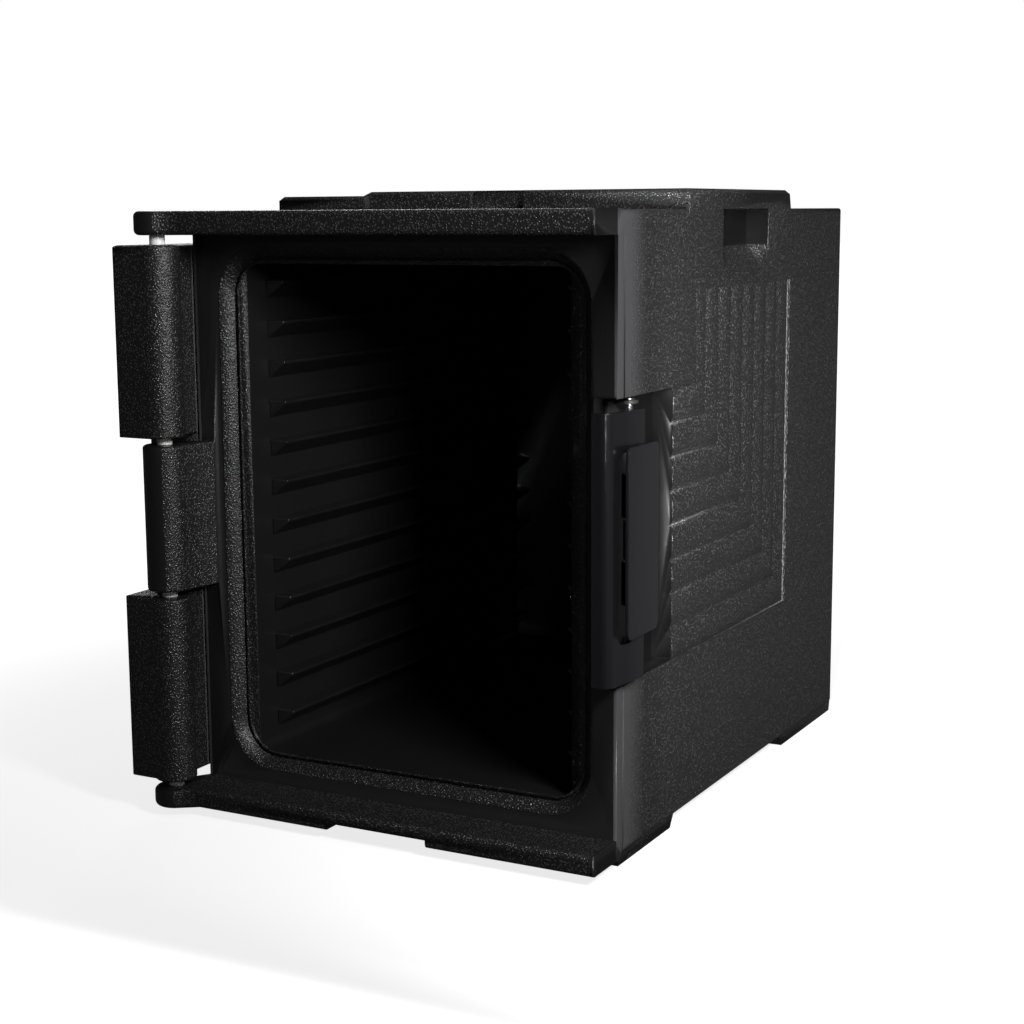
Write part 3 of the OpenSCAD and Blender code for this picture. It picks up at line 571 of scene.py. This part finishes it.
class CARRIER_OT_spring(bpy.types.Operator):
    """Wind the latch's torsion spring"""

    bl_idname = "carrier.spring"
    bl_label = "Latch spring"

    wire: length("Wire", "Radius of the spring's wire", 0.0008)
    coil: length("Coil", "Radius of the coil's middle line", 0.0048)
    pitch: bpy.props.FloatProperty(
        name="Pitch", description="Rise of one turn, in radii of the wire", default=2.15)
    steps: bpy.props.IntProperty(name="Steps", description="Steps in one turn", default=24)
    lean: bpy.props.FloatProperty(
        name="Lean", description="Turn of the free leg", default=math.radians(-7), subtype="ANGLE",
        unit="ROTATION")

    def ring(self, form, place):
        """A ring of wire that stands across the coil's start"""
        stand = Matrix.Translation(place) @ Matrix.Rotation(math.radians(90), 4, "Y")
        made = bmesh.ops.create_circle(form, segments=10, radius=self.wire, matrix=stand)
        return list({edge for vert in made["verts"] for edge in vert.link_edges})

    def leg(self, form, edges, run):
        """Draws the wire straight on from a ring and closes its end"""
        drawn = bmesh.ops.extrude_edge_only(form, edges=edges)["geom"]
        verts = [item for item in drawn if isinstance(item, bmesh.types.BMVert)]
        bmesh.ops.translate(form, verts=verts, vec=run)
        end = [item for item in drawn if isinstance(item, bmesh.types.BMEdge)]
        bmesh.ops.edgeloop_fill(form, edges=end)

    def execute(self, context):
        form = bmesh.new()
        axis = Vector((LATCH_AXIS.x, LATCH_AXIS.y, 0))
        low, high = SPRING_LOW.z + self.wire, SPRING_HIGH.z - self.wire
        turns = math.floor((high - low) / (self.wire * self.pitch)) + 0.5 + self.lean / math.tau
        start = self.ring(form, (axis.x, axis.y + self.coil, low))
        steps = round(turns * self.steps)
        wound = bmesh.ops.spin(
            form, geom=start, cent=axis, axis=(0, 0, 1), angle=-math.tau * turns, steps=steps,
            dvec=(0, 0, (high - low) / steps), use_merge=False, use_duplicate=False)
        last = [item for item in wound["geom_last"] if isinstance(item, bmesh.types.BMEdge)]
        self.leg(form, start, (SPRING_HIGH.x - axis.x, 0, 0))
        reach = SPRING_REACH * math.cos(self.lean)
        self.leg(form, last, (reach, SPRING_REACH * math.sin(self.lean), 0))
        bmesh.ops.recalc_face_normals(form, faces=form.faces)
        wire = metal_material("spring_wire", (0.50, 0.51, 0.52), 0.25, (1, 1, 1))
        piece = show(form, "latch_spring_wire", "case", wire)
        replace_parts(piece, "latch_spring")
        return {"FINISHED"}


class CARRIER_OT_hardware(bpy.types.Operator):
    """Finish the hinge pin, spacers, bushes, bracket, wear plate and screws"""

    bl_idname = "carrier.hardware"
    bl_label = "Hardware"

    def execute(self, context):
        fine = context.scene.carrier_edges.metal
        nylon = nylon_material()
        dress(["case_bushes", "door_bushes", "latch_bushes"], nylon)
        softened("hinge_spacers", "hinge_spacer_rings", "case", nylon, SPACER_EDGE)
        bright = metal_material("bright_steel", (0.66, 0.67, 0.68), 0.18, (1, 1, 0.1))
        dull = metal_material("zinc_plated_steel", (0.40, 0.41, 0.42), 0.34, (1, 1, 1))
        coated = coated_material()
        dress(["latch_clip"], bright)
        softened("hinge_pin", "hinge_pin_rod", "case", bright, fine * 4)
        softened("latch_pin", "latch_pivot_pin", "case", bright, fine * 2)
        softened("latch_bracket", "latch_bracket_pressing", "case", coated, fine)
        softened("striker", "wear_plate", "door", dull, fine)
        screws("bracket_screws", "bracket_screw_set", "case", coated, fine)
        screws("striker_screws", "striker_screw_set", "door", bright, fine)
        screws("grip_screws", "grip_screw_set", "latch", bright, fine)
        return {"FINISHED"}


# Name, place, target or None for the object's middle, width and height, watts and spread in degrees
LAMPS = (
    ("key_softbox", (0.99, -0.79, 0.89), None, (0.29, 0.34), 24, 180),
    ("wall_softbox", (0.60, -1.00, 0.45), (0.24, 0.0, 0.36), (0.04, 0.20), 8, 70),
    ("top_softbox", (0.3, 0.2, 2.7), None, (1.5, 1.5), 14, 180),
    ("rear_softbox", (-1.8, 2.4, 1.8), None, (1.2, 1.0), 20, 180),
)


class CARRIER_OT_studio(bpy.types.Operator):
    """Make the floor, the studio light, the world and the camera"""

    bl_idname = "carrier.studio"
    bl_label = "Studio"

    glow: bpy.props.FloatProperty(
        name="Glow", description="Light that the floor shows the camera by itself", default=1.12)
    lift: share("Lift", "Share of the floor's glow near the object", 0.72)
    floor_reach: length("Floor", "Half of the floor's side", 30)
    floor_gap: length("Floor gap", "Gap between the feet and the floor", 0.0005)

    def floor(self):
        """A pale floor that the camera sees as white but for the shadow near the object"""
        form = bmesh.new()
        bmesh.ops.create_grid(form, x_segments=1, y_segments=1, size=self.floor_reach)
        mesh = bpy.data.meshes.new("studio_floor")
        form.to_mesh(mesh)
        form.free()
        paint = Paint("white_studio_floor")
        seen = paint.add("ShaderNodeLightPath", output="Is Camera Ray")
        mirrored = paint.add("ShaderNodeLightPath", output="Is Glossy Ray")
        away = paint.add("ShaderNodeVectorMath", {"operation": "LENGTH"}, [paint.place()], "Value")
        far = paint.fade(away, 0.5, 1.1)
        grey = 0.34 + seen * 0.54
        tint = paint.add("ShaderNodeCombineColor", {}, [grey, grey, grey])
        paint.finish(Base_Color=tint, Roughness=0.8, Specular_IOR_Level=0.1)
        right = paint.add("ShaderNodeVectorMath", {"operation": "DOT_PRODUCT"},
                          [paint.place(), (0.8, 0.6, 0)], "Value")
        reflected = 0.05 + paint.fade(right, -0.1, 0.9) * 0.08
        glow = paint.add("ShaderNodeEmission", {},
                         {"Color": (1, 1, 1), "Strength": seen * self.glow + mirrored * reflected})
        share = seen * (self.lift + far * (1 - self.lift)) | mirrored
        mixed = paint.add("ShaderNodeMixShader", {}, [share])
        node = mixed.socket.node
        paint.tree.links.new(paint.shader.outputs[0], node.inputs[1])
        paint.tree.links.new(glow.socket, node.inputs[2])
        paint.tree.links.new(mixed.socket, paint.tree.nodes["Material Output"].inputs["Surface"])
        mesh.materials.append(paint.material)
        piece = bpy.data.objects.new("studio_floor", mesh)
        piece.location.z = CAD_BOX[0].z - self.floor_gap
        bpy.context.scene.collection.objects.link(piece)

    def flag(self, name, place, half_size):
        """A card that only shades: it keeps the wall's light off the front faces"""
        form = bmesh.new()
        stand = Matrix.Translation(place) @ Matrix.Rotation(math.radians(90), 4, "X")
        bmesh.ops.create_grid(form, x_segments=1, y_segments=1, size=1,
                              matrix=stand @ Matrix.Diagonal((*half_size, 1, 1)))
        mesh = bpy.data.meshes.new(name)
        form.to_mesh(mesh)
        form.free()
        mesh.materials.append(coated_material())
        card = bpy.data.objects.new(name, mesh)
        card.visible_camera = card.visible_glossy = card.visible_diffuse = False
        bpy.context.scene.collection.objects.link(card)

    def softbox(self, name, place, target, size, watts, spread):
        light = bpy.data.lights.new(name, "AREA")
        light.shape = "RECTANGLE"
        light.size, light.size_y = size
        light.energy = watts
        light.spread = spread
        lamp = bpy.data.objects.new(name, light)
        lamp.location = place
        aim = Vector(target) - Vector(place)
        lamp.rotation_euler = aim.to_track_quat("-Z", "Y").to_euler()
        bpy.context.scene.collection.objects.link(lamp)

    def world(self, scene):
        """White for the camera; in reflections dark at the front left and pale behind on the right"""
        paint = Paint("white_studio", bpy.data.worlds)
        camera = paint.add("ShaderNodeLightPath", output="Is Camera Ray")
        through = paint.add("ShaderNodeLightPath", output="Is Transmission Ray")
        mirrored = paint.add("ShaderNodeLightPath", output="Is Glossy Ray")
        heading = paint.add("ShaderNodeTexCoord", output="Generated")
        right_rear = paint.add("ShaderNodeVectorMath", {"operation": "DOT_PRODUCT"},
                               [heading, (0.6, 0.8, 0)], "Value")
        room = 0.03 + paint.fade(right_rear, -0.4, 0.95) * 0.025
        lit = room * mirrored + (1 - mirrored) * 0.05
        paint.finish(Color=(1, 1, 1), Strength=(camera | through) | lit)
        scene.world = paint.material

    def camera(self, scene, studio):
        turn, height, roll = studio.turn, studio.height, studio.roll
        ahead = Vector((-math.sin(turn) * math.cos(height), math.cos(turn) * math.cos(height),
                        -math.sin(height)))
        right = Vector((math.cos(turn), math.sin(turn), 0))
        up = right.cross(ahead)
        across = right * math.cos(roll) + up * math.sin(roll)
        upright = up * math.cos(roll) - right * math.sin(roll)
        data = bpy.data.cameras.new("studio_camera")
        data.lens = studio.lens
        data.sensor_width = 36
        camera = bpy.data.objects.new("studio_camera", data)
        axes = Matrix((across, upright, -ahead)).transposed().to_4x4()
        camera.matrix_world = Matrix.Translation(studio.eye) @ axes
        scene.collection.objects.link(camera)
        scene.camera = camera

    def execute(self, context):
        scene = context.scene
        scene.view_settings.view_transform = "Standard"
        self.floor()
        middle = (CAD_BOX[0] + CAD_BOX[1]) / 2
        for name, place, target, size, watts, spread in LAMPS:
            self.softbox(name, place, target or middle, size, watts, math.radians(spread))
        self.flag("wall_softbox_flag", (0.165, -0.60, 0.34), (0.255, 0.28))
        self.world(scene)
        self.camera(scene, scene.carrier_studio)
        return {"FINISHED"}


STEPS = (CARRIER_OT_case, CARRIER_OT_door, CARRIER_OT_latch, CARRIER_OT_spring, CARRIER_OT_hardware,
         CARRIER_OT_studio)


class CARRIER_PT_panel(bpy.types.Panel):
    """Lists the carrier's settings and the steps that make it"""

    bl_idname = "CARRIER_PT_panel"
    bl_label = "Food Carrier"
    bl_space_type = "VIEW_3D"
    bl_region_type = "UI"
    bl_category = "Food Carrier"

    def draw(self, context):
        layout = self.layout
        scene = context.scene
        for group in (scene.carrier_edges, scene.carrier_finish, scene.carrier_studio):
            for name in group.bl_rna.properties.keys():
                if name not in {"rna_type", "name"}:
                    layout.prop(group, name)
        for step in STEPS:
            layout.operator(step.bl_idname)


CLASSES = (CarrierEdges, CarrierFinish, CarrierStudio, *STEPS, CARRIER_PT_panel)


def register():
    for item in CLASSES:
        bpy.utils.register_class(item)
    bpy.types.Scene.carrier_edges = bpy.props.PointerProperty(type=CarrierEdges)
    bpy.types.Scene.carrier_finish = bpy.props.PointerProperty(type=CarrierFinish)
    bpy.types.Scene.carrier_studio = bpy.props.PointerProperty(type=CarrierStudio)


def unregister():
    del bpy.types.Scene.carrier_studio
    del bpy.types.Scene.carrier_finish
    del bpy.types.Scene.carrier_edges
    for item in reversed(CLASSES):
        bpy.utils.unregister_class(item)


def main():
    register()
    for step in STEPS:
        group, name = step.bl_idname.split(".")
        getattr(getattr(bpy.ops, group), name)()


if __name__ == "__main__":
    main()
